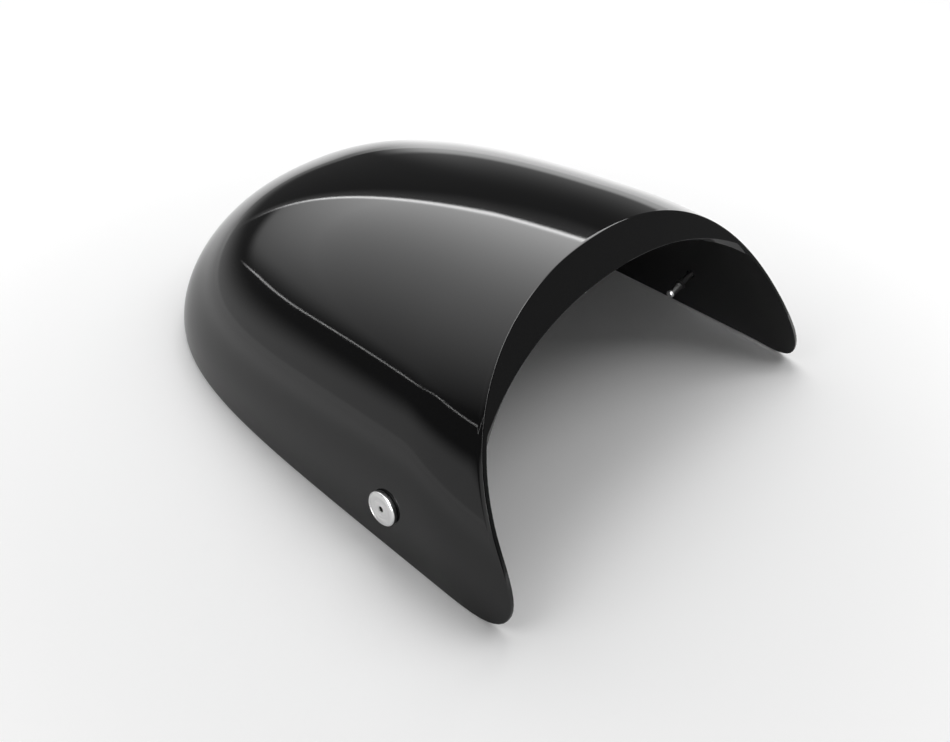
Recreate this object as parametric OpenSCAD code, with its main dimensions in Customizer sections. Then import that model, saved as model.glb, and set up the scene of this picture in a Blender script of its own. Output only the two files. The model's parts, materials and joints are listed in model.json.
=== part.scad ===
// Rear seat cowl of a motorcycle: one thin-walled moulding, open below and at its raked mouth,
// held on by two captive screws that pass through the legs of the mouth.
// X runs across the cowl, Y from the mouth to the tail, and Z up from the base rim.

/* [Cowl] */
// Greatest width, across the sides
cowl_width = 265.5; // [240:0.5:290]
// Length along the base, from the foot line of the mouth to the tail
cowl_length = 357; // [325:1:390]
// Height that the spine keeps over the mouth
cowl_height = 121.6; // [108:0.2:134]
// Wall thickness of the moulding
wall = 2.2; // [1.8:0.1:3]
// Distance of the widest place behind the foot line
widest_place = 49; // [35:1:80]

/* [Mouth] */
// How much each side draws in from the widest place to the foot line
mouth_pinch = 6.8; // [0:0.2:14]
// How far the top of the mouth leans back behind the foot line
mouth_rake = 81; // [60:1:100]
// Depth of the flange at the crown of the mouth, wall included
flange_depth = 19.5; // [12:0.5:24]
// Angle above the base at which the flange begins, seen from the front
flange_start = 35.5; // [25:0.5:45]
// Radius of the outer edge of the mouth at the crown
edge_radius = 1.2; // [0.6:0.1:1.6]
// Length of the base that the rounded tip of each leg takes
tip_length = 35.2; // [26:0.2:42]
// Height of the rounded tip of each leg
tip_height = 40.6; // [28:0.2:48]

/* [Screws] */
// Distance of the screws' cross-section behind the foot line, along the base
screw_place = 79; // [60:1:110]
// Height of the screws where they enter the wall
screw_height = 26; // [22:0.5:34]
// Diameter of the screw head
head_diameter = 18.2; // [14:0.2:20]
// Thickness of the screw head
head_thickness = 2.8; // [2:0.1:4]
// Width across the flats of the hexagon socket
socket_width = 3; // [2.5:0.5:4]
// Outer diameter of the thread
thread_diameter = 5; // [4:0.5:5]
// Length of the threaded end
thread_length = 11; // [8:0.5:14]
// Length of the waist between head and thread
waist_length = 14; // [12:0.5:18]
// Diameter of the waist
waist_diameter = 3.8; // [3:0.1:3.8]
// Outer diameter of the retaining ring
ring_diameter = 6.4; // [6.2:0.1:8]
// Thickness of the retaining ring
ring_thickness = 1.6; // [1:0.1:2]

/* [Hidden] */

// The plan outline: how square its tail is along the sides, and how full its corners are
plan_length_power = 4.8;
plan_width_power = 2.44;
// The spine: where its fall begins, how late it comes, and how full the tail is
spine_start = -56;
spine_length_power = 3.7;
spine_height_power = 1.92;
// The cross-section's fullness across and up, at the mouth, half way and at the tail
section_across = [2.2, 2.24, 2.21];
section_up = [2.63, 1.92, 1.5];
// How much the mouth bows forward of a straight rake
mouth_bow = 0.076;
// Fullness of the rounded leg tips
tip_power = 2.32;
// How soon the flange reaches its full depth on its way up from the legs
flange_power = 2.8;
// Edge radius where the legs meet their tips, and along the base rim
leg_radius = 0.64 * wall;
base_radius = 0.5;
// Clearance of the screw in its hole and of the ring on the waist, and the depth of the screw's flat seat
hole_clearance = 0.3;
ring_clearance = 0.1;
seat_depth = 0.4;
seat_margin = 0.6;
// Chamfers of the screw
head_chamfer = 0.6;
thread_chamfer = 0.7;
socket_depth = 1.7;

// Mesh of the moulding: stations in a leg tip, stations behind it, and steps up each side
TIP_STATIONS = 8;
BODY_STATIONS = 26;
SIDE_STEPS = 24;
STATIONS = TIP_STATIONS + BODY_STATIONS;
COLUMNS = 2 * SIDE_STEPS;
// The station at which the back of the flange steps out to the inner skin
FLANGE_STATION = 1;
// How far behind the mouth that station lies at the crown, and the share of it kept low on the legs
MOUTH_ROOM = 1.25 * wall;
LEG_ROOM_SHARE = 0.6;
// A lip smaller than this is left out, and a rim's radius takes no more than this share of the first row
LEAST_LIP = 0.05;
FOLD_GUARD = 0.4;
// Small steps along the base and up the side, for measuring which way the skin runs
BASE_STEP = 3;
SIDE_STEP = 0.03;

// The rounded leg tips reach a little behind the foot line, so the base rim's middle lies here
foremost = [for (i = [0 : TIP_STATIONS]) section_point(tip_station(i), 0, 0)[1]];
middle_y = (min(foremost) + cowl_length) / 2;

function unit(v) = v / norm(v);
function share_of(x, from, to) = min(1, max(0, (x - from) / (to - from)));
function super_arc(u, along, across) = pow(max(0, 1 - pow(u, along)), 1 / across);

// A value that passes through three given ones at the mouth, half way and at the tail
function through(v, f) =
    v[0] * (1 - f) * (1 - 2 * f) + 4 * v[1] * f * (1 - f) + v[2] * f * (2 * f - 1);

// Half the width of the plan at y, for the skin that lies t inside the outer one
function half_width(y, t) =
    let (draw_in = y < widest_place ? mouth_pinch * pow(1 - y / widest_place, 2) : 0,
         u = share_of(y, widest_place, cowl_length - t))
    (cowl_width / 2 - draw_in - t) * super_arc(u, plan_length_power, plan_width_power);

// Height of the spine at y
function spine_height(y, t) =
    let (u = share_of(y, spine_start, cowl_length - t))
    (cowl_height - t) * super_arc(u, spine_length_power, spine_height_power);

// Height of the rim above the base: it rises over the rounded tips of the legs
function rim_height(b) =
    tip_height * (1 - pow(1 - pow(1 - share_of(b, 0, tip_length), tip_power), 1 / tip_power));

// A leaning cross-section leaves the base at b and meets the spine further back.
// Its point at share s of the way from the rim to the spine, on the right-hand side.
function section_point(b, s, t) =
    let (f = b / (cowl_length - t),
         top_y = mouth_rake * (1 - t / cowl_height) * (1 - f) + (cowl_length - t) * f,
         height = spine_height(top_y, t),
         low = height > 0 ? min(1, rim_height(b) / height) : 0,
         rise = 1 - (1 - low) * pow(1 - s, 2),
         bow = 1 + mouth_bow * (1 - f))
    [half_width(b, t) * super_arc(rise, through(section_up, f), through(section_across, f)),
     b + (top_y - b) * rise * (bow + (1 - bow) * rise),
     height * rise];

// Stations along the base: close together in the leg tips, and closing up again at the tail
function tip_station(i) = tip_length * (1 - pow(cos(90 * i / TIP_STATIONS), 2 / tip_power));
function station(i, t) =
    let (first = asin(tip_length / cowl_length))
    i <= TIP_STATIONS ? tip_station(i)
    : (cowl_length - t) * sin(first + (90 - first) * (i - TIP_STATIONS) / BODY_STATIONS);

// Share of the way up the side that a column stands at, from the rim to the spine
function rise_share(j) = 1 - abs(j - SIDE_STEPS) / SIDE_STEPS;

// Away from the rim, stations near the mouth stand back from it, to clear its rounded edge and the flange
function stand_back(i, j) =
    let (s = rise_share(j))
    i == 0 || s == 0 ? 0
    : MOUTH_ROOM * (LEG_ROOM_SHARE + (1 - LEG_ROOM_SHARE) * s) * (1 - share_of(station(i, 0), 0, tip_length));

// Point of the skin at a station and column; columns run from the left rim over the spine to the right
function skin(i, j, t) =
    let (p = section_point(station(i, t) + stand_back(i, j), rise_share(j), t))
    [sign(j - SIDE_STEPS) * p[0], p[1] - middle_y, p[2]];

// The flange at the mouth deepens from nothing on the legs to its full depth at the crown
function flange_lip(j) =
    let (p = skin(0, j, 0),
         climb = share_of(atan2(p[2], abs(p[0])), flange_start, 90),
         lip = flange_depth * (1 - pow(1 - climb, flange_power)) - wall)
    lip < LEAST_LIP ? 0 : lip;
function across_wall(i, j) = unit(skin(i, j, wall) - skin(i, j, 0));
function inner_skin(i, j) = skin(i, j, wall) + (i <= FLANGE_STATION ? flange_lip(j) : 0) * across_wall(0, j);

// The rim loop starts at the tail, runs up the left side, over the mouth and back down the right side
RIM = concat(
    [[STATIONS, 0]],
    [for (i = [STATIONS - 1 : -1 : 1]) [i, 0]],
    [for (j = [0 : COLUMNS]) [0, j]],
    [for (i = [1 : STATIONS - 1]) [i, COLUMNS]]);
RIM_COUNT = len(RIM);

// Radius of the rounded outer edge at a place on the rim
function rim_radius(i, j) =
    let (p = skin(0, j, 0))
    i == 0 ? leg_radius + (edge_radius - leg_radius) * sin(atan2(p[2], abs(p[0])))
    : i == STATIONS ? base_radius
    : min(leg_radius + (base_radius - leg_radius) * share_of(station(i, 0), 0, tip_length),
          FOLD_GUARD * norm(skin(i, j == 0 ? 1 : COLUMNS - 1, 0) - skin(i, j, 0)));

// Direction along the skin, square to the rim and away from it
function along_skin(i, j) =
    let (b = station(i, 0),
         at_tip = 1 - share_of(b, 0, tip_length),
         s = rise_share(j),
         here = section_point(b, s, 0),
         next = section_point(b + BASE_STEP * at_tip, s + (i == 0 ? 0 : SIDE_STEP * (1 - at_tip)), 0),
         d = unit(next - here))
    i == STATIONS ? [0, 0, 1] : [sign(j - SIDE_STEPS) * d[0], d[1], d[2]];

// One point of the rounded edge: step 0 lies on the skin, 1 at the corner and 2 on the rim's face
function edge_point(at, step) =
    let (i = at[0], j = at[1], r = rim_radius(i, j), a = along_skin(i, j), n = across_wall(i, j))
    skin(i, j, 0) + r * (step == 0 ? a : step == 1 ? (a + n) / 4 : n);

// Vertices: the two skins' inner points, then four rings on the rim, then the step behind the flange
SKIN_POINTS = (STATIONS - 1) * (COLUMNS - 1);
OUTER_START = 0;
INNER_START = SKIN_POINTS;
RING_START = 2 * SKIN_POINTS;
STEP_START = RING_START + 4 * RIM_COUNT;

function in_grid(i, j) = (i - 1) * (COLUMNS - 1) + j - 1;
function rim_index(i, j) =
    i == STATIONS ? 0
    : i == 0 ? STATIONS + j
    : j == 0 ? STATIONS - i : STATIONS + COLUMNS + i;
function on_rim(i, j) = i == 0 || i == STATIONS || j == 0 || j == COLUMNS;
function ring_vertex(ring, k) = RING_START + ring * RIM_COUNT + k % RIM_COUNT;
function outer_vertex(i, j) = on_rim(i, j) ? ring_vertex(0, rim_index(i, j)) : OUTER_START + in_grid(i, j);
function inner_vertex(i, j) = on_rim(i, j) ? ring_vertex(3, rim_index(i, j)) : INNER_START + in_grid(i, j);
function step_vertex(j) = flange_lip(j) == 0 ? inner_vertex(FLANGE_STATION, j) : STEP_START + j;

// Two triangles for four corners, leaving out any that has no area
function triangle(a, b, c) = a == b || b == c || a == c ? [] : [[a, b, c]];
function quad(a, b, c, d) = concat(triangle(a, c, b), triangle(a, d, c));

// Between the flange's station and the next, the inner skin starts at the foot of the step
function inner_start_vertex(i, j) = i == FLANGE_STATION ? step_vertex(j) : inner_vertex(i, j);

module moulding() {
    points = concat(
        [for (i = [1 : STATIONS - 1]) for (j = [1 : COLUMNS - 1]) skin(i, j, 0)],
        [for (i = [1 : STATIONS - 1]) for (j = [1 : COLUMNS - 1]) inner_skin(i, j)],
        [for (step = [0 : 2]) for (at = RIM) edge_point(at, step)],
        [for (at = RIM) inner_skin(at[0], at[1])],
        [for (j = [0 : COLUMNS]) skin(FLANGE_STATION, j, wall)]);
    faces = concat(
        [for (i = [0 : STATIONS - 1]) for (j = [0 : COLUMNS - 1])
            each quad(outer_vertex(i, j), outer_vertex(i, j + 1),
                      outer_vertex(i + 1, j + 1), outer_vertex(i + 1, j))],
        [for (i = [0 : STATIONS - 1]) for (j = [0 : COLUMNS - 1])
            each quad(inner_vertex(i + 1, j), inner_vertex(i + 1, j + 1),
                      inner_start_vertex(i, j + 1), inner_start_vertex(i, j))],
        [for (j = [0 : COLUMNS - 1])
            each quad(step_vertex(j), step_vertex(j + 1),
                      inner_vertex(FLANGE_STATION, j + 1), inner_vertex(FLANGE_STATION, j))],
        [for (ring = [0 : 2]) for (k = [0 : RIM_COUNT - 1])
            each quad(ring_vertex(ring, k), ring_vertex(ring + 1, k),
                      ring_vertex(ring + 1, k + 1), ring_vertex(ring, k + 1))]);
    polyhedron(points, faces, convexity = 6);
}

// Where each screw's head seats: the wall's outer skin, and the direction square to it
screw_rise = screw_height / spine_height(mouth_rake + (1 - mouth_rake / cowl_length) * screw_place, 0);
screw_share = 1 - sqrt(1 - screw_rise);
screw_point = section_point(screw_place, screw_share, 0);
behind_screw = section_point(screw_place + BASE_STEP, screw_share, 0);
above_screw = section_point(screw_place, screw_share + SIDE_STEP, 0);
screw_axis = unit(cross(behind_screw - screw_point, above_screw - screw_point));

// Puts its children on the right-hand or left-hand screw's axis, with Z = 0 on the seat
module at_screw(side) {
    mirror([side < 0 ? 1 : 0, 0, 0])
        translate(screw_point - [0, middle_y, 0] - seat_depth * screw_axis)
            rotate([0, acos(screw_axis[2]), atan2(screw_axis[1], screw_axis[0])])
                children();
}

module screw_hole() {
    translate([0, 0, -2 * wall])
        cylinder(h = 4 * wall, d = thread_diameter + 2 * hole_clearance, $fn = 48);
    cylinder(h = 2 * wall, d = head_diameter + 2 * seat_margin, $fn = 96);
}

module cowl_shell() {
    color("#1a1b1d")
        difference() {
            moulding();
            at_screw(1) screw_hole();
            at_screw(-1) screw_hole();
        }
}

module screw(side) {
    head_r = head_diameter / 2;
    waist_r = waist_diameter / 2;
    thread_r = thread_diameter / 2;
    tip = -waist_length - thread_length;
    color("#c9cbcc")
        at_screw(side)
            difference() {
                rotate_extrude($fn = 96)
                    polygon([
                        [0, head_thickness],
                        [head_r - head_chamfer, head_thickness],
                        [head_r, head_thickness - head_chamfer],
                        [head_r, 0],
                        [waist_r, 0],
                        [waist_r, -waist_length],
                        [thread_r, -waist_length],
                        [thread_r, tip + thread_chamfer],
                        [thread_r - thread_chamfer, tip],
                        [0, tip]]);
                translate([0, 0, head_thickness - socket_depth])
                    cylinder(h = 2 * socket_depth, d = socket_width / cos(30), $fn = 6);
            }
}

module retaining_ring(side) {
    color("#151515")
        at_screw(side)
            translate([0, 0, -waist_length])
                difference() {
                    cylinder(h = ring_thickness, d = ring_diameter, $fn = 64);
                    translate([0, 0, -ring_thickness])
                        cylinder(h = 3 * ring_thickness, d = waist_diameter + 2 * ring_clearance, $fn = 64);
                }
}

module screw_left() { screw(-1); }
module screw_right() { screw(1); }
module retaining_ring_left() { retaining_ring(-1); }
module retaining_ring_right() { retaining_ring(1); }

cowl_shell();
screw_left();
screw_right();
retaining_ring_left();
retaining_ring_right();
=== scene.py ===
# %% [markdown]
# # A motorcycle seat cowl in black plastic
#
# The cowl is a hood that covers the passenger's half of a seat. It is one thin moulding with an open,
# raked mouth at the front, and two captive screws hold it to the frame below. This lesson builds its
# smooth skin from a few curves, turns the screws, and lights the whole as a small studio would.
#
# The model of the same cowl that is used for sizes and contact is loaded first. Everything here is
# in metres in its frame: X across, Y from the mouth to the tail, Z up from the rim.

# %% Load the frame
import json
import math
import bpy
import numpy as np
from mathutils import Matrix, Vector

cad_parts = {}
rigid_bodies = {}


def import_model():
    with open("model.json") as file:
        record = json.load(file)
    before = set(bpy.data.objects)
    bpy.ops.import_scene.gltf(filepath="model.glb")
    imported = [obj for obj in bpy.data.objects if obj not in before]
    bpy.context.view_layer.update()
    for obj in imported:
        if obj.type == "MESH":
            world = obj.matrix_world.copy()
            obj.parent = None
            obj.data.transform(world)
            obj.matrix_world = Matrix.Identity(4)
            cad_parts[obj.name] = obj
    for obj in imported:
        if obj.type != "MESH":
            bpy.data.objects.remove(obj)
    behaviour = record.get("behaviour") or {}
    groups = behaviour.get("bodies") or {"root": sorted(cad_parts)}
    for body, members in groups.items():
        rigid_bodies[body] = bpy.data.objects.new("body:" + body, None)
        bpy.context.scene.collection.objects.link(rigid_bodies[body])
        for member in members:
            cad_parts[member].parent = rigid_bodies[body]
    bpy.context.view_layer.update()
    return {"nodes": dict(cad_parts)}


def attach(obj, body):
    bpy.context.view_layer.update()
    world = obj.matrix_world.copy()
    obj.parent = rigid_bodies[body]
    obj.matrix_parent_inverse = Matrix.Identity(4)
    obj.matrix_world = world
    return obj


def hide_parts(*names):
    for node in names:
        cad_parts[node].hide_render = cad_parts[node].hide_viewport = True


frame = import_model()
MM = 0.001
print("nodes in the frame:", sorted(frame["nodes"]))

# %% [markdown]
# ## The camera
#
# The picture looks down on the cowl from in front of its left leg, with a lens a little wider than
# a person's view. The place and the angles come from matching the outline of the skin, so the camera
# is set by them and isn't aimed at anything.

# %% Camera
CAMERA_PLACE = (-308.4 * MM, -319.5 * MM, 366.2 * MM)
CAMERA_TURN = -46.69
CAMERA_TILT = 41.71
LENS = 35.08
SENSOR_WIDTH = 36
NEAREST_SEEN = 5 * MM

camera = bpy.data.objects.new("camera", bpy.data.cameras.new("camera"))
bpy.context.scene.collection.objects.link(camera)
camera.data.lens = LENS
camera.data.sensor_width = SENSOR_WIDTH
camera.data.clip_start = NEAREST_SEEN
camera.location = CAMERA_PLACE
camera.rotation_euler = (math.radians(90 - CAMERA_TILT), 0, math.radians(CAMERA_TURN))
bpy.context.scene.camera = camera
print("camera at", [round(c, 3) for c in camera.location])

# %% [markdown]
# ## The form of the skin
#
# A cowl like this has no crease on it: its ridges are only reflections. The whole form follows from
# three curves. The plan is the rim's outline seen from above, the spine is the fall of the top seen
# from the side, and between them stand cross-sections that lean back with the mouth. All three are
# superellipses, which are ellipses whose powers make them squarer or leaner. A power curve keeps the
# gloss smooth from end to end, where a mesh pushed about by hand would show dents.

# %% Sizes of the moulding
COWL_WIDTH = 265.5 * MM
COWL_LENGTH = 357 * MM
COWL_HEIGHT = 121.6 * MM
WALL = 2.2 * MM
WIDEST_PLACE = 49 * MM
MOUTH_PINCH = 6.8 * MM
MOUTH_RAKE = 81 * MM
MOUTH_BOW = 0.076
TIP_LENGTH = 35.2 * MM
TIP_HEIGHT = 40.6 * MM
TIP_POWER = 2.32
PLAN_POWERS = (4.8, 2.44)
SPINE_START = -56 * MM
SPINE_POWERS = (3.7, 1.92)
SECTION_ACROSS = (2.2, 2.24, 2.21)
SECTION_UP = (2.63, 1.92, 1.5)
TINY = 1e-9


def share_of(x, start, end):
    """How far x has come from start to end, between 0 and 1."""
    return np.clip((x - start) / (end - start), 0, 1)


def super_arc(u, powers):
    """Height of a superellipse, with u from 0 at its crown to 1 at its foot."""
    return np.maximum(1 - u ** powers[0], 0) ** (1 / powers[1])


def through(values, f):
    """A value that passes through three given ones at the mouth, half way and at the tail."""
    mouth, middle, tail = values
    return mouth * (1 - f) * (1 - 2 * f) + 4 * middle * f * (1 - f) + tail * f * (2 * f - 1)


def half_width(y, inset):
    """The plan: half the width, drawn in a little towards the mouth."""
    draw_in = MOUTH_PINCH * (1 - np.minimum(y, WIDEST_PLACE) / WIDEST_PLACE) ** 2
    u = share_of(y, WIDEST_PLACE, COWL_LENGTH - inset)
    return (COWL_WIDTH / 2 - draw_in - inset) * super_arc(u, PLAN_POWERS)


def spine_height(y, inset):
    u = share_of(y, SPINE_START, COWL_LENGTH - inset)
    return (COWL_HEIGHT - inset) * super_arc(u, SPINE_POWERS)


def rim_height(b):
    """Height of the rim over the base, where a leg's rounded tip lifts it."""
    u = 1 - share_of(b, 0, TIP_LENGTH)
    return TIP_HEIGHT * (1 - (1 - u ** TIP_POWER) ** (1 / TIP_POWER))


print("half width at the mouth, mm:", round(float(half_width(0, 0)) / MM, 1))

# %% [markdown]
# ## A point of the skin
#
# One function gives every point: b is where a cross-section leaves the base, and c runs over the
# cowl from -1 at the left rim through 0 at the spine to 1 at the right rim. An inset gives the
# inner skin. The frame's origin is the middle of the box, so y is moved back by the rim's middle.

# %% Skin function
TIP_SAMPLES = 200


def section_point(b, c, inset):
    f = b / (COWL_LENGTH - inset)
    top_y = MOUTH_RAKE * (1 - inset / COWL_HEIGHT) * (1 - f) + (COWL_LENGTH - inset) * f
    height = np.maximum(spine_height(top_y, inset), TINY)
    low = np.minimum(rim_height(b) / height, 1)
    rise = low + (1 - low) * (1 - c ** 2)
    powers = (through(SECTION_UP, f), through(SECTION_ACROSS, f))
    x = np.sign(c) * half_width(b, inset) * super_arc(rise, powers)
    bow = 1 + MOUTH_BOW * (1 - f)
    y = b + (top_y - b) * rise * (bow + (1 - bow) * rise)
    return np.stack(np.broadcast_arrays(x, y, height * rise), axis=-1)


tip_rim = section_point(np.linspace(0, TIP_LENGTH, TIP_SAMPLES), 1.0, 0)
MIDDLE_Y = (tip_rim[:, 1].min() + COWL_LENGTH) / 2


def skin(b, c, inset=0.0):
    return section_point(np.asarray(b, float), np.asarray(c, float), inset) - (0, MIDDLE_Y, 0)


def unit(v):
    return v / np.linalg.norm(v, axis=-1, keepdims=True)


print("crown of the mouth, mm:", (skin(0, 0) / MM).round(1))

# %% [markdown]
# ## A small mesh maker
#
# The pieces here are grids and rings of points that share their edges. This class keeps the list of
# points and faces, hands out vertex numbers, and bridges one row of numbers to the next. Sharing the
# numbers leaves no gap between the skins and the rounded rim, so the solid is closed. Faces are shaded
# smooth, and an edge stays sharp only where they meet at a clear angle.

# %% Mesh maker
SHARP_ANGLE = 32


class Maker:
    def __init__(self):
        self.points = []
        self.faces = []

    def add(self, points):
        """Keep the points, and give back their numbers in the same arrangement."""
        flat = np.reshape(points, (-1, 3))
        numbers = np.arange(len(flat)) + len(self.points)
        self.points.extend(map(tuple, flat))
        return numbers.reshape(np.shape(points)[:-1])

    def bridge(self, row, other):
        """Faces between two rows of vertex numbers; corners that coincide are left out."""
        for corners in zip(row[1:], row[:-1], other[:-1], other[1:]):
            face = list(dict.fromkeys(int(n) for n in corners))
            if len(face) > 2:
                self.faces.append(face)

    def sheet(self, rows):
        """Faces between each row of numbers and the next."""
        for row, other in zip(rows[:-1], rows[1:]):
            self.bridge(row, other)

    def piece(self, name):
        mesh = bpy.data.meshes.new(name)
        mesh.from_pydata(self.points, [], self.faces)
        mesh.shade_smooth()
        mesh.set_sharp_from_angle(angle=math.radians(SHARP_ANGLE))
        mesh.validate()
        mesh.update()
        made = bpy.data.objects.new(name, mesh)
        bpy.context.scene.collection.objects.link(made)
        print(name, "has", len(mesh.vertices), "points and", len(mesh.polygons), "faces")
        return made


print("edges stay smooth up to", SHARP_ANGLE, "degrees")

# %% [markdown]
# ## Stations and columns
#
# The skin is a grid. Its first rows are spaced by the angle round a leg's tip, so that the rim turns
# there in even steps, and the last rows close up at the tail, where the form is tight. Away from the
# rim the first rows stand back from the mouth, which leaves room for its rounded edge. Most of that
# room is taken within a few hundredths of the way from the rim to the spine.

# %% Grid of a skin
TIP_ROWS = 14
BODY_ROWS = 110
SIDE_COLUMNS = 84
EDGE_ROOM = 3.4 * MM
ROOM_AT_ONCE = 0.6
ROOM_REACH = 0.03


def stations(inset):
    """Where the cross-sections leave the base, from the mouth to the tail."""
    turn = np.linspace(0, math.pi / 2, TIP_ROWS + 1)
    tip = TIP_LENGTH * (1 - np.cos(turn) ** (2 / TIP_POWER))
    first = math.asin(TIP_LENGTH / COWL_LENGTH)
    body = (COWL_LENGTH - inset) * np.sin(np.linspace(first, math.pi / 2, BODY_ROWS + 1))
    return np.concatenate([tip, body[1:]])


def skin_grid(inset):
    columns = np.linspace(-1, 1, 2 * SIDE_COLUMNS + 1)
    b, c = np.meshgrid(stations(inset), columns, indexing="ij")
    from_rim = 1 - np.abs(c)
    at_once = ROOM_AT_ONCE * share_of(from_rim, 0, ROOM_REACH)
    room = EDGE_ROOM * (at_once + (1 - ROOM_AT_ONCE) * from_rim)
    b = np.where(b > 0, b + room * (1 - share_of(b, 0, TIP_LENGTH)), b)
    return b, c, skin(b, c, inset)


outer_b, outer_c, outer_points = skin_grid(0.0)
print("grid of the outer skin:", outer_b.shape)

# %% [markdown]
# ## The flange in the mouth
#
# The mouth isn't just the wall's thin edge. From partway up the legs a flange turns inward, deepest
# at the crown, and stiffens the arch. It could be a second sheet joined on, but a push of the inner
# skin's first two rows towards the middle of the mouth makes it with no seam.

# %% Flange and inner skin
FLANGE_DEPTH = 19.5 * MM
FLANGE_START = 35.5
FLANGE_POWER = 2.8
FLANGE_ROWS = 2


def slope_up_the_mouth(c):
    """Angle above the base, seen from the front, in degrees."""
    p = skin(0, c)
    return np.degrees(np.arctan2(p[..., 2], np.abs(p[..., 0])))


def flange_lip(c):
    """How far the flange reaches in from the inner skin."""
    share = share_of(slope_up_the_mouth(c), FLANGE_START, 90)
    return np.maximum(FLANGE_DEPTH * (1 - (1 - share) ** FLANGE_POWER) - WALL, 0)


def across_wall(b, c):
    return unit(skin(b * (COWL_LENGTH - WALL) / COWL_LENGTH, c, WALL) - skin(b, c))


inner_b, inner_c, inner_points = skin_grid(WALL)
mouth_c = inner_c[0]
inner_points[:FLANGE_ROWS] += flange_lip(mouth_c)[:, None] * across_wall(0 * mouth_c, mouth_c)
print("flange at the crown, mm:", round(float(flange_lip(0.0) + WALL) / MM, 1))

# %% [markdown]
# ## Rounding the rim
#
# A real moulding has no knife edge. Round the mouth the outer edge has a radius of a little over a
# millimetre, which catches a thin line of light, and along the base half a millimetre. A bevel would
# do it too, but not with a radius that changes along the edge. So the rim is one closed loop that
# starts at the tail, runs forward on the left, over the mouth and back on the right, and on that loop
# rings of points turn the corner from the outer skin to the rim's flat face, and again to the inside.

# %% Rim loop
LOOK_ACROSS = 0.02
LOOK_BACK = 2 * MM


def rim_of(grid):
    """The edge of a grid as one loop: tail, left side, mouth, right side."""
    return np.concatenate([grid[-1:, 0], grid[-2:0:-1, 0], grid[0, :], grid[1:-1, -1]])


rim_b = rim_of(outer_b)
rim_c = rim_of(outer_c)
corner = rim_of(outer_points)
inner_corner = rim_of(inner_points)
at_mouth = rim_b == 0
at_tip = 1 - share_of(rim_b, 0, TIP_LENGTH)
at_pole = np.arange(len(rim_b)) == 0


def along_skin(b, c, inset, start):
    """Direction along a skin, square to the rim and away from it."""
    step_c = np.where(at_mouth, 0, LOOK_ACROSS * (1 - at_tip))
    step_b = np.where(at_mouth, 1, at_tip) * LOOK_BACK
    target = skin(b + step_b, np.sign(c) * (np.abs(c) - step_c), inset)
    return unit(np.where(at_pole[:, None], (0, 0, 1.0), target - start))


outward = along_skin(rim_b, rim_c, 0.0, corner)
inward = along_skin(rim_of(inner_b), rim_c, WALL, rim_of(skin(inner_b, inner_c, WALL)))
across = unit(inner_corner - corner)
print("the rim loop has", len(rim_b), "places")

# %% Radius along the rim
EDGE_RADIUS = 1.2 * MM
LEG_RADIUS = 1.4 * MM
BASE_RADIUS = 0.5 * MM
INNER_RADIUS = 0.25 * MM
SUPPORT = 0.25 * MM
RADIUS_SHARE = 0.6
INNER_SHARE = 0.4
SUPPORT_SHARE = 0.2

# The room at each place is the distance to the grid's next row or column, and no radius fills it.
gap = np.zeros(outer_b.shape)
gap[:, 0] = gap[:, -1] = np.linalg.norm(outer_points[:, 1] - outer_points[:, 0], axis=1)
gap[0] = np.linalg.norm(outer_points[1] - outer_points[0], axis=1)
gap[-1] = gap[-2, 0]
gap = rim_of(gap)

slope = np.radians(slope_up_the_mouth(rim_c))
mouth_radius = LEG_RADIUS + (EDGE_RADIUS - LEG_RADIUS) * np.sin(slope)
base_radius = LEG_RADIUS + (BASE_RADIUS - LEG_RADIUS) * (1 - at_tip)
radius = np.minimum(np.where(at_mouth, mouth_radius, base_radius), RADIUS_SHARE * gap)[:, None]
inner_radius = np.minimum(INNER_RADIUS, INNER_SHARE * gap)[:, None]
support = np.minimum(SUPPORT, SUPPORT_SHARE * gap)[:, None]
print("radius along the rim, mm:", round(radius.min() / MM, 2), "to", round(radius.max() / MM, 2))

# %% Skins and rim joined
EDGE_STEPS = 7
INNER_STEPS = 3


def turn_corner(at, size, start_way, end_way, steps):
    """Rings that leave the corner along one direction and reach the other by a parabola."""
    return [at + size * ((1 - s) ** 2 * start_way + s ** 2 * end_way) for s in np.linspace(0, 1, steps + 1)]


def join_grid(maker, points, ring):
    """Numbers for a grid whose edge is a ring that exists already."""
    numbers = np.zeros(points.shape[:2], int)
    numbers[1:-1, 1:-1] = maker.add(points[1:-1, 1:-1])
    rows = len(numbers) - 1
    numbers[-1, :] = ring[0]
    numbers[1:-1, 0] = ring[1:rows][::-1]
    numbers[0, :] = ring[rows:rows + numbers.shape[1]]
    numbers[1:-1, -1] = ring[rows + numbers.shape[1]:]
    return numbers


shell = Maker()
rings = [corner + (radius + support) * outward]
rings += turn_corner(corner, radius, outward, across, EDGE_STEPS)
rings += [inner_corner - (inner_radius + support) * across]
rings += turn_corner(inner_corner, inner_radius, -across, inward, INNER_STEPS)
numbers = [shell.add(ring) for ring in rings]
shell.sheet([np.append(ring, ring[0]) for ring in numbers])
shell.sheet(join_grid(shell, outer_points, numbers[0])[:, ::-1])
shell.sheet(join_grid(shell, inner_points, numbers[-1]))
cowl = shell.piece("cowl")

# %% [markdown]
# ## Where the screws sit
#
# Each screw stands square to the wall, partway up a leg. Its place is a section and a height, and
# its direction is worked out from the skin itself, so the disc lies flush. The left one is
# the right one's mirror, but its thread isn't mirrored, because both are the same bought screw.

# %% Screw places
SCREW_PLACE = 79 * MM
SCREW_HEIGHT = 26 * MM
SEAT_DEPTH = 0.4 * MM
NUDGE_BACK = 0.5 * MM
NUDGE_ACROSS = 0.01


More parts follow.
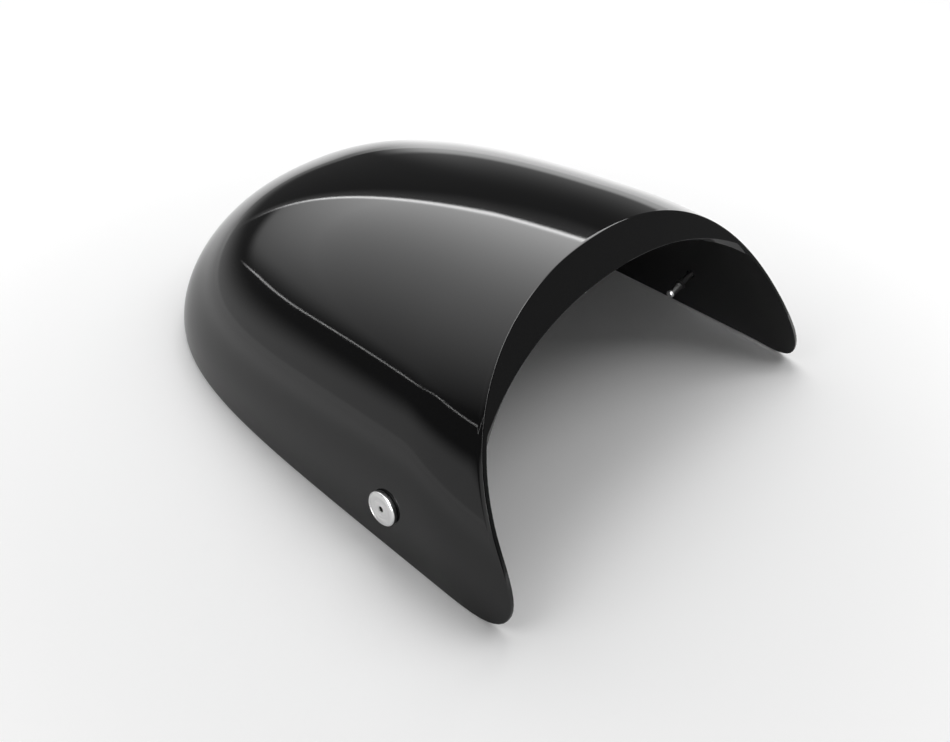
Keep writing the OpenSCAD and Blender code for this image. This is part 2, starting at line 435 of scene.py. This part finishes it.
def screw_seat(side):
    """The frame of a screw: its origin on the wall, its Z square to it and outward."""
    top_y = MOUTH_RAKE + (1 - MOUTH_RAKE / COWL_LENGTH) * SCREW_PLACE
    c = math.sqrt(1 - SCREW_HEIGHT / float(spine_height(top_y, 0.0)))
    along_y = skin(SCREW_PLACE + NUDGE_BACK, c) - skin(SCREW_PLACE - NUDGE_BACK, c)
    along_z = skin(SCREW_PLACE, c - NUDGE_ACROSS) - skin(SCREW_PLACE, c + NUDGE_ACROSS)
    normal = unit(np.cross(along_y, along_z))
    place = skin(SCREW_PLACE, c) - SEAT_DEPTH * normal
    mirrored = (side, 1, 1)
    turn = Vector(normal * mirrored).to_track_quat("Z", "Y")
    return Matrix.Translation(Vector(place * mirrored)) @ turn.to_matrix().to_4x4()


for side, name in ((1, "right"), (-1, "left")):
    print(name, "screw seat, mm:", [round(c / MM, 1) for c in screw_seat(side).translation])

# %% [markdown]
# ## Turned pieces
#
# Screws and rings come off a lathe, so they are profiles spun round an axis. A profile here is a list
# of radius and height in millimetres. A third number gives the corners of a ring that isn't round,
# such as the hexagon of the socket: the radius then follows the flats. A Screw modifier could spin a
# plain profile too, but not a hexagon, a disc and a thread in one surface.

# %% Lathe
STEPS = 96
TURN = np.linspace(0, 2 * math.pi, STEPS, endpoint=False)


def ring_numbers(maker, radius, height_mm):
    """Numbers of one closed ring of points, whose radius may differ from point to point."""
    places = [radius * np.cos(TURN), radius * np.sin(TURN), height_mm * MM + 0 * TURN]
    ring = maker.add(np.stack(places, axis=-1))
    return np.append(ring, ring[0])


def spin(maker, profile):
    """Rings of points round Z; a ring of no radius is one point."""
    rows = []
    for radius_mm, height_mm, *corners in profile:
        if radius_mm == 0:
            rows.append(np.repeat(maker.add([(0, 0, height_mm * MM)]), STEPS + 1))
            continue
        flat = 1.0
        if corners:
            half = math.pi / corners[0]
            flat = 1 / np.cos((TURN % (2 * half)) - half)
        rows.append(ring_numbers(maker, radius_mm * MM * flat, height_mm))
    return rows


print("a turned ring has", STEPS, "points")

# %% [markdown]
# ## Screw holes
#
# Each screw passes a plain hole, and its head lies in a shallow flat seat. One stepped cutter makes
# both. The cut is applied to the mesh at once, and the cutters are thrown away.

# %% Cutting the holes
HOLE_RADIUS = 2.8
SEAT_RADIUS = 9.7
CUT_REACH = 8
CUTTER_PROFILE = [
    (0, CUT_REACH), (SEAT_RADIUS, CUT_REACH), (SEAT_RADIUS, 0),
    (HOLE_RADIUS, 0), (HOLE_RADIUS, -CUT_REACH), (0, -CUT_REACH)]

cutters = []
for side in (1, -1):
    maker = Maker()
    maker.sheet(spin(maker, CUTTER_PROFILE))
    cutter = maker.piece("cutter")
    cutter.matrix_world = screw_seat(side)
    cut = cowl.modifiers.new("hole", "BOOLEAN")
    cut.object = cutter
    cutters.append(cutter)
bpy.context.view_layer.update()
drilled = bpy.data.meshes.new_from_object(cowl.evaluated_get(bpy.context.evaluated_depsgraph_get()))
drilled.set_sharp_from_angle(angle=math.radians(SHARP_ANGLE))
cowl.modifiers.clear()
cowl.data = drilled
for cutter in cutters:
    bpy.data.objects.remove(cutter)
print("cowl after drilling:", len(cowl.data.polygons), "faces")

# %% [markdown]
# ## The screws
#
# The head is a thin disc with a hexagon socket. Its face was turned, which leaves shallow steps and
# fine rings, and its edge is chamfered. Below it comes a thin waist and then the thread. A bump could
# only hint at the thread, so it is a real helix: each ring of points moves in and out as the pitch
# passes it, and both ends of the thread run out into the shank.

# %% Screws
HEAD_PROFILE = [
    (0, 0.9), (1.3, 1.1, 6), (1.5, 1.15, 6), (1.5, 2.6, 6), (1.62, 2.68), (1.9, 2.72),
    (3.3, 2.72), (3.45, 2.66), (3.6, 2.66), (3.75, 2.74), (4.9, 2.76), (5.0, 2.7), (5.15, 2.7), (5.25, 2.76),
    (7.5, 2.78), (7.62, 2.71), (7.78, 2.71), (7.9, 2.8), (8.42, 2.8), (8.58, 2.76), (9.0, 2.36),
    (9.1, 2.2), (9.1, 0.3), (9.0, 0.12), (8.8, 0), (2.4, 0), (2.05, -0.12), (1.9, -0.5)]
WAIST_END = -14.0
TIP_END = -25.0
WAIST_RADIUS = 1.9
SHOULDER_RADIUS = 2.05
TIP_RADIUS = 1.75
CRISP = 0.1
SHOULDER_PROFILE = [
    (WAIST_RADIUS, WAIST_END + CRISP), (WAIST_RADIUS, WAIST_END), (SHOULDER_RADIUS, WAIST_END)]
TIP_PROFILE = [(TIP_RADIUS, TIP_END), (0, TIP_END)]
THREAD_RADIUS = 2.5
THREAD_DEPTH = 0.42
PITCH = 0.8
ROWS_A_PITCH = 10
SHOULDER_ROOM = 0.25
TIP_ROOM = 0.35
SHOULDER_FADE = 0.7
TIP_FADE = 1.0
FLANK_SLOPE = 2.6
ROOT_FLAT = 0.15


def thread_rows(maker):
    """The thread's surface from the shoulder to the tip, crest and root in turn."""
    first = WAIST_END - SHOULDER_ROOM
    last = TIP_END + TIP_ROOM
    rows = []
    for height in np.linspace(first, last, round(ROWS_A_PITCH * (first - last) / PITCH)):
        phase = (height / PITCH - TURN / (2 * math.pi)) % 1
        crest = np.clip(FLANK_SLOPE * np.abs(phase - 0.5) - ROOT_FLAT, 0, 1)
        ends = min(1, (WAIST_END - height) / SHOULDER_FADE, (height - TIP_END) / TIP_FADE)
        rows.append(ring_numbers(maker, (THREAD_RADIUS - THREAD_DEPTH * (1 - crest * ends)) * MM, height))
    return rows


def make_screw(name, side):
    maker = Maker()
    rows = spin(maker, HEAD_PROFILE) + spin(maker, SHOULDER_PROFILE)
    rows += thread_rows(maker)
    rows += spin(maker, TIP_PROFILE)
    maker.sheet(rows)
    made = maker.piece(name)
    made.matrix_world = screw_seat(side)
    return made


screws = {"left": make_screw("screw_near", -1), "right": make_screw("screw_far", 1)}

# %% [markdown]
# ## The retaining rings
#
# A small black ring rides on the waist and stops against the thread's shoulder. It keeps the screw
# with the cowl when it is undone. Its profile is a closed loop, so its last ring joins its first, and
# each of its four corners is rounded by a quarter of a circle.

# %% Retaining rings
RING_BORE = 2.0
RING_RADIUS = 3.2
RING_THICKNESS = 1.6
RING_EDGE = 0.35
BORE_EDGE = 0.1
CORNER_POINTS = 5


def make_ring(name, side):
    low = WAIST_END
    high = WAIST_END + RING_THICKNESS
    corners = ((RING_BORE, low, BORE_EDGE), (RING_RADIUS, low, RING_EDGE),
               (RING_RADIUS, high, RING_EDGE), (RING_BORE, high, BORE_EDGE))
    profile = []
    for k, (r, z, edge) in enumerate(corners):
        middle_r = math.copysign(edge, (RING_BORE + RING_RADIUS) / 2 - r)
        middle_z = math.copysign(edge, (low + high) / 2 - z)
        for a in np.linspace(0, math.pi / 2, CORNER_POINTS):
            share = (1 - math.cos(a), 1 - math.sin(a))
            turned = share if k % 2 == 0 else share[::-1]
            profile.append((r + middle_r * turned[0], z + middle_z * turned[1]))
    maker = Maker()
    rows = spin(maker, profile[::-1])
    maker.sheet(rows + rows[:1])
    made = maker.piece(name)
    made.matrix_world = screw_seat(side)
    return made


retaining = {"left": make_ring("ring_near", -1), "right": make_ring("ring_far", 1)}

# %% [markdown]
# ## Standing in for the solids
#
# Each piece takes the place of one solid of the frame, which stays for contact and is hidden. Nothing
# on a cowl moves, so every piece rides on the one body, and a slot says which finish it takes.

# %% Hiding the solids and attaching the pieces
for side in ("left", "right"):
    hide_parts("screw_" + side)
    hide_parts("retaining_ring_" + side)
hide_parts("cowl_shell")
pieces = (cowl, *screws.values(), *retaining.values())
for piece in pieces:
    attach(piece, "root")
print("pieces on the root body:", [piece.name for piece in pieces])

# %% [markdown]
# ## Writing materials as sums
#
# A material is a graph of nodes, but its maths reads better as a sum. This class wraps one socket.
# Adding or multiplying two of them makes the Math node, and the one method of a finish makes any
# other node from its type, its settings and what its sockets take. Where a node has several sockets
# of one name, a list gives their values in order.

# %% Shader sockets
class Socket:
    def __init__(self, tree, out):
        self.tree = tree
        self.out = out

    def maths(self, operation, first, second):
        node = self.tree.nodes.new("ShaderNodeMath")
        node.operation = operation
        for value, taken in zip((first, second), node.inputs):
            put(self.tree, value, taken)
        return Socket(self.tree, node.outputs[0])

    def __add__(self, other):
        return self.maths("ADD", self, other)

    def __sub__(self, other):
        return self.maths("SUBTRACT", self, other)

    def __rsub__(self, other):
        return self.maths("SUBTRACT", other, self)

    def __mul__(self, other):
        return self.maths("MULTIPLY", self, other)

    def __truediv__(self, other):
        return self.maths("DIVIDE", self, other)

    def __pow__(self, power):
        return self.maths("POWER", self, power)

    def above(self, least):
        return self.maths("MAXIMUM", self, least)

    __radd__ = __add__
    __rmul__ = __mul__


def put(tree, value, taken):
    """Link a socket, or set a plain value on it."""
    if isinstance(value, Socket):
        tree.links.new(value.out, taken)
    else:
        taken.default_value = value


class Finish:
    """A material or world whose nodes are made one call at a time."""

    def __init__(self, owner):
        owner.use_nodes = True
        self.owner = owner
        self.tree = owner.node_tree
        self.tree.nodes.clear()

    def node(self, kind, settings=None, output=0, **sockets):
        made = self.tree.nodes.new("ShaderNode" + kind)
        for name, value in (settings or {}).items():
            setattr(made, name, value)
        for name, given in sockets.items():
            wanted = name.replace("_", " ")
            named = [taken for taken in made.inputs if taken.name == wanted and taken.enabled]
            for value, taken in zip(given if isinstance(given, list) else [given], named):
                put(self.tree, value, taken)
        return Socket(self.tree, made.outputs[output])

    def step(self, value, start, end):
        """0 before the start and 1 past the end, with a smooth step between."""
        smooth = {"interpolation_type": "SMOOTHSTEP"}
        return self.node("MapRange", smooth, Value=value, From_Min=start, From_Max=end)

    def end(self, surface, kind="OutputMaterial"):
        made = self.tree.nodes.new("ShaderNode" + kind)
        self.tree.links.new(surface.out, made.inputs["Surface"])
        print(self.owner.name, "has", len(self.tree.nodes), "nodes")
        return self.owner


# %% [markdown]
# ## Gloss black plastic
#
# The moulding is black all through, so its base colour is almost nothing and what shows is what it
# reflects. Its surface has a fine grain under the gloss, which is why the long reflections have a
# soft, furry edge: one layer of very fine noise bends the normal a little. The inside was never
# polished and is much rougher. One material does for both: the normal points away from the middle of
# the hollow on the outside, and towards it on the inside.

# %% Plastic
BLACK = (0.004, 0.004, 0.0042, 1)
GLOSS_ROUGHNESS = 0.03
INSIDE_ROUGHNESS = 0.45
HOLLOW_MIDDLE = (0, 0, 30 * MM)
PLASTIC_IOR = 1.5

plastic = Finish(bpy.data.materials.new("black_plastic"))
place = plastic.node("TexCoord", output="Object")
grain = plastic.node("TexNoise", Vector=place, Scale=2500.0, Detail=1.0, Roughness=0.5)
bump = plastic.node("Bump", Height=grain, Strength=0.03, Distance=0.0001)
from_middle = plastic.node("VectorMath", {"operation": "SUBTRACT"}, Vector=[place, HOLLOW_MIDDLE])
normal = plastic.node("TexCoord", output="Normal")
along = {"operation": "DOT_PRODUCT"}
facing = plastic.node("VectorMath", along, output="Value", Vector=[from_middle, normal])
outside = plastic.step(facing, 0.01, 0.03)
roughness = INSIDE_ROUGHNESS - (INSIDE_ROUGHNESS - GLOSS_ROUGHNESS) * outside
cowl.data.materials.append(plastic.end(plastic.node(
    "BsdfPrincipled", Base_Color=BLACK, Roughness=roughness, IOR=PLASTIC_IOR, Normal=bump)))

# %% [markdown]
# ## Turned steel
#
# The screws are steel. A lathe tool leaves very fine rings round the axis, so roughness and bump
# follow the distance from the axis, which each screw's own coordinates give directly. Only the face
# of the head and the end of the thread keep bright steel: the head's side, the deep part of the socket
# and the shank get a painted shade of dark grey and are duller, which is why the head shows with a dark edge.

# %% Steel
PAINTED_SHADE_GREY = 0.08
BRIGHT_GREY = 0.98
DULL_ROUGHNESS = 0.5
BRIGHT_ROUGHNESS = 0.26
RING_ROUGHNESS = 0.14
LINES_PER_METRE = 5000.0
FACE_HEIGHTS = (2 * MM, 2.3 * MM)
TIP_HEIGHTS = ((TIP_END + 0.8) * MM, (TIP_END + 2.2) * MM)

steel = Finish(bpy.data.materials.new("turned_steel"))
place = steel.node("TexCoord", output="Object")
flat = steel.node("VectorMath", {"operation": "MULTIPLY"}, Vector=[place, (1, 1, 0)])
from_axis = steel.node("VectorMath", {"operation": "LENGTH"}, output="Value", Vector=flat)
in_a_line = {"noise_dimensions": "1D"}
lines = steel.node("TexNoise", in_a_line, W=from_axis * LINES_PER_METRE, Scale=1.0, Detail=2.0)
bump = steel.node("Bump", Height=lines, Strength=0.15, Distance=0.00005)
height = steel.node("SeparateXYZ", output="Z", Vector=place)
# Painted shade: below the face of the head and above the thread's end the steel is dark grey, standing in for
# shade on the head's side, in the socket and along the shank
unshaded = steel.step(height, *FACE_HEIGHTS) + 1 - steel.step(height, *TIP_HEIGHTS)
roughness = DULL_ROUGHNESS - (DULL_ROUGHNESS - BRIGHT_ROUGHNESS) * unshaded + RING_ROUGHNESS * lines
turned_steel = steel.end(steel.node(
    "BsdfPrincipled", Base_Color=PAINTED_SHADE_GREY + (BRIGHT_GREY - PAINTED_SHADE_GREY) * unshaded, Metallic=1.0,
    Roughness=roughness, Normal=bump))
for piece in screws.values():
    piece.data.materials.append(turned_steel)

# %% [markdown]
# ## Black ring
#
# The retaining rings are plain matt black, with a trace of mottling so that they don't look painted.

# %% Ring material
rubber = Finish(bpy.data.materials.new("matt_black"))
mottle = rubber.node("TexNoise", Vector=rubber.node("TexCoord", output="Object"), Scale=1500.0)
matt_black = rubber.end(rubber.node(
    "BsdfPrincipled", Base_Color=(0.015, 0.015, 0.015, 1), Roughness=0.5 + 0.2 * mottle))
for piece in retaining.values():
    piece.data.materials.append(matt_black)

# %% [markdown]
# ## Floor
#
# The cowl lies on a white table. The floor is one large face, a hair below the rim so that the two
# don't share a plane. Its finish is plain matt white, which takes the shadow. A little light of its
# own, for the camera and for reflections only, brings it to paper white, and far out the camera sees
# it as pure white, so that there is no horizon.
#
# Gloss black shows that table too. In reflections its white carries a little painted shade on the left, and
# further out it gives way to a painted level of light of its own: brighter on the right, with a darker gap
# beside that; nearer in on the right it gets a painted spill of extra light.

# %% Floor
HALF_FLOOR = 1.6
FLOOR_DROP = 0.4 * MM
TABLE_WHITE = 0.92

edge = np.array([-HALF_FLOOR, HALF_FLOOR])
floor_x, floor_y = np.meshgrid(edge, edge)
floor_maker = Maker()
floor_maker.sheet(floor_maker.add(np.stack([floor_x, floor_y, 0 * floor_x - FLOOR_DROP], axis=-1)))
floor = floor_maker.piece("floor")

table = Finish(bpy.data.materials.new("white_table"))
seen = table.node("LightPath", output="Is Camera Ray")
shiny = table.node("LightPath", output="Is Glossy Ray")
through_glass = table.node("LightPath", output="Is Transmission Ray")
place = table.node("TexCoord", output="Object")
reach = table.node("VectorMath", {"operation": "LENGTH"}, output="Value", Vector=place)
bearing = table.node("SeparateXYZ", output="X", Vector=place) / reach
on_left = 1 - table.step(bearing, -0.4, 0.0)
on_right = table.step(bearing, 0.57, 0.7)
past_right = table.step(bearing, 0.0, 0.25) * (1 - table.step(bearing, 0.5, 0.65))
dark_gap = table.step(reach, 0.7, 1.1) * past_right

paper = (0.02 + 0.15 * table.step(reach, 0.2, 0.45)) * (seen + shiny + through_glass)
backdrop = seen * table.step(reach, 0.4, 0.8)
far = shiny * table.step(reach, 0.25, 0.9)
# Painted reflection: the level of light that the far floor shows to gloss, brighter on the right with a
# darker gap
far_level = (0.7 + 0.65 * on_right) * (1 - dark_gap) + 0.15 * dark_gap
# Painted light: extra glow near the cowl on the right, seen in reflections only
spill = 0.4 * on_right * table.step(reach, 0.15, 0.4)
# Painted shade: for reflections the table's white is darker on the left, more so near the cowl
shade = 0.3 - 0.14 * table.step(reach, 0.18, 0.4)
white_with_painted_shade = (TABLE_WHITE - shiny * on_left * shade) * (1 - far - backdrop)
own_light = paper * (1 - backdrop) + backdrop + far * far_level + (shiny - far) * spill
floor.data.materials.append(table.end(table.node(
    "BsdfPrincipled", Base_Color=white_with_painted_shade, Roughness=1.0, Specular_IOR_Level=0.0,
    Emission_Color=own_light, Emission_Strength=1.0)))

# %% [markdown]
# ## The studio round the cowl
#
# Glossy black shows the room and little else, so the room is drawn with care. To the camera the world
# is plain white, and to matt surfaces a dim even dome. To a glossy surface it is a dim room with a
# long softbox overhead: bright along its right-hand edge, fading to the left and closed there by a
# thin lit line, with a pale glow low on both sides. All of it depends only on the direction of the
# ray: x to the right, y to the back and z up. Softboxes made of lamps could be placed instead, but
# their edges are straight, and those of this studio are bent.

# %% Directions and helpers
world = Finish(bpy.data.worlds.new("studio"))
bpy.context.scene.world = world.owner
ray = world.node("TexCoord", output="Generated")
x, y, z = (world.node("SeparateXYZ", output=axis, Vector=ray) for axis in "XYZ")
rise = world.step


def ramp(value, start, end):
    """0 before the start and 1 past the end, with an even climb between."""
    return world.node("MapRange", Value=value, From_Min=start, From_Max=end)


def between(value, start, full, fall, gone):
    """0 outside, 1 from full to fall, with a smooth step at each end."""
    return rise(value, start, full) * (1 - rise(value, fall, gone))


print("nodes for directions:", len(world.tree.nodes))

# %% Softbox overhead
# The z at which the softbox's two edges run, for each x of the ray
right_edge = 0.5155 - 0.285 * ((0.72 - x) * 2).above(0) ** 2.9 + 0.25 * (x - 0.58).above(0)
left_edge = 0.02 - 0.68 * x - 0.044 * rise(0 - x, 0.25, 0.5) + 0.07 * rise(0 - x, 0.63, 0.69)
over_right = z - right_edge
over_left = z - left_edge

# Its face fades towards the left and towards the floor
fade = rise(over_left, -0.04, 0.16) * ramp(z, 0.07, 0.46) * rise(z, 0.14, 0.22)
panel = (1.66 + 2.3 * x + 3.0 * x.above(0) ** 2) * fade * rise(over_right, -0.01, 0.01)

# The bright band on the right edge with a faint halo below it, and the thin line on the left edge
band = 6.5 * between(over_right, -0.008, 0.004, 0.006, 0.025) * rise(x, 0.12, 0.3)
halo = 0.3 * between(over_right, -0.1, 0.0, 0.0, 0.01) * rise(x, 0.1, 0.2)
line = 8.0 * between(over_left, -0.002, 0.003, 0.003, 0.008) * (1 - rise(x, -0.3, -0.15))
print("nodes with the softbox:", len(world.tree.nodes))

# %% Walls, glow and world
# Pale glow low down, on the left and on the right
low_left = (0.01 - 0.2 * x - 0.1 * x.above(0) + 0.16 * x ** 4) * rise(y, -0.02, 0.22)
glow_left = 0.62 * (1 - rise(z - low_left, -0.11, 0.11))
glow_right = (0.85 * (1 - rise(z, 0.01, 0.07)) + 0.27 * (1 - rise(z, 0.0, 0.4))) * rise(x, 0.57, 0.7)

# A soft strip in front, which the sides of the cowl show, and the dim walls
strip = 12.0 * between(y, -0.55, -0.35, -0.2, -0.04) * rise(z, 0.1, 0.2) * (1 - rise(x, 0.25, 0.55))
back_wall = 0.08
front_wall = 0.03 + 0.16 * rise(x, 0.25, 0.45)
to_the_back = rise(y, -0.15, 0.1)

at_the_back = (panel + band + halo + line + glow_right + back_wall) * to_the_back
room = at_the_back + front_wall * (1 - to_the_back) + glow_left + strip
FILL = 0.16
camera_ray = world.node("LightPath", output="Is Camera Ray")
glossy_ray = world.node("LightPath", output="Is Glossy Ray")
dome = glossy_ray * room + (1 - glossy_ray) * (FILL + (1 - FILL) * camera_ray)
world.end(world.node("Background", Color=(1, 1, 1, 1), Strength=dome), "OutputWorld")

# %% [markdown]
# ## Lamps
#
# Four large soft lamps stand round the cowl, the strongest high at the back on the right. Together
# they give the floor its soft shadow inside the mouth, which one lamp would make too hard. They are
# left out of the reflections, because the world already draws the room there. A lamp's strength here
# is the brightness of its face, which its energy is worked out from.

# %% Lights
LAMP_DISTANCE = 1.6
LAMP_SIZE = 1.0


def soft_lamp(name, turn, height, strength):
    """A square lamp that faces the cowl, turned clockwise from the back and raised, in degrees."""
    turn, height = math.radians(turn), math.radians(height)
    level = math.cos(height)
    lamp = bpy.data.lights.new(name, "AREA")
    lamp.size = LAMP_SIZE
    lamp.energy = strength * LAMP_SIZE * LAMP_SIZE * math.pi
    made = bpy.data.objects.new(name, lamp)
    bpy.context.scene.collection.objects.link(made)
    made.location = LAMP_DISTANCE * Vector((math.sin(turn) * level, math.cos(turn) * level, math.sin(height)))
    made.rotation_euler = (-made.location).to_track_quat("-Z", "Y").to_euler()
    made.visible_camera = False
    made.visible_glossy = False
    print(name, "lamp at", [round(c, 2) for c in made.location])


soft_lamp("key", 45, 60, 4.0)
soft_lamp("back", 0, 40, 0.9)
soft_lamp("right", 125, 53, 2.7)
soft_lamp("left", -60, 45, 1.9)

# %% [markdown]
# ## Colours as written
#
# The Standard view shows each colour as it is written, where the usual one would grey the white.

# %% Finish
bpy.context.scene.view_settings.view_transform = "Standard"
bpy.context.view_layer.update()
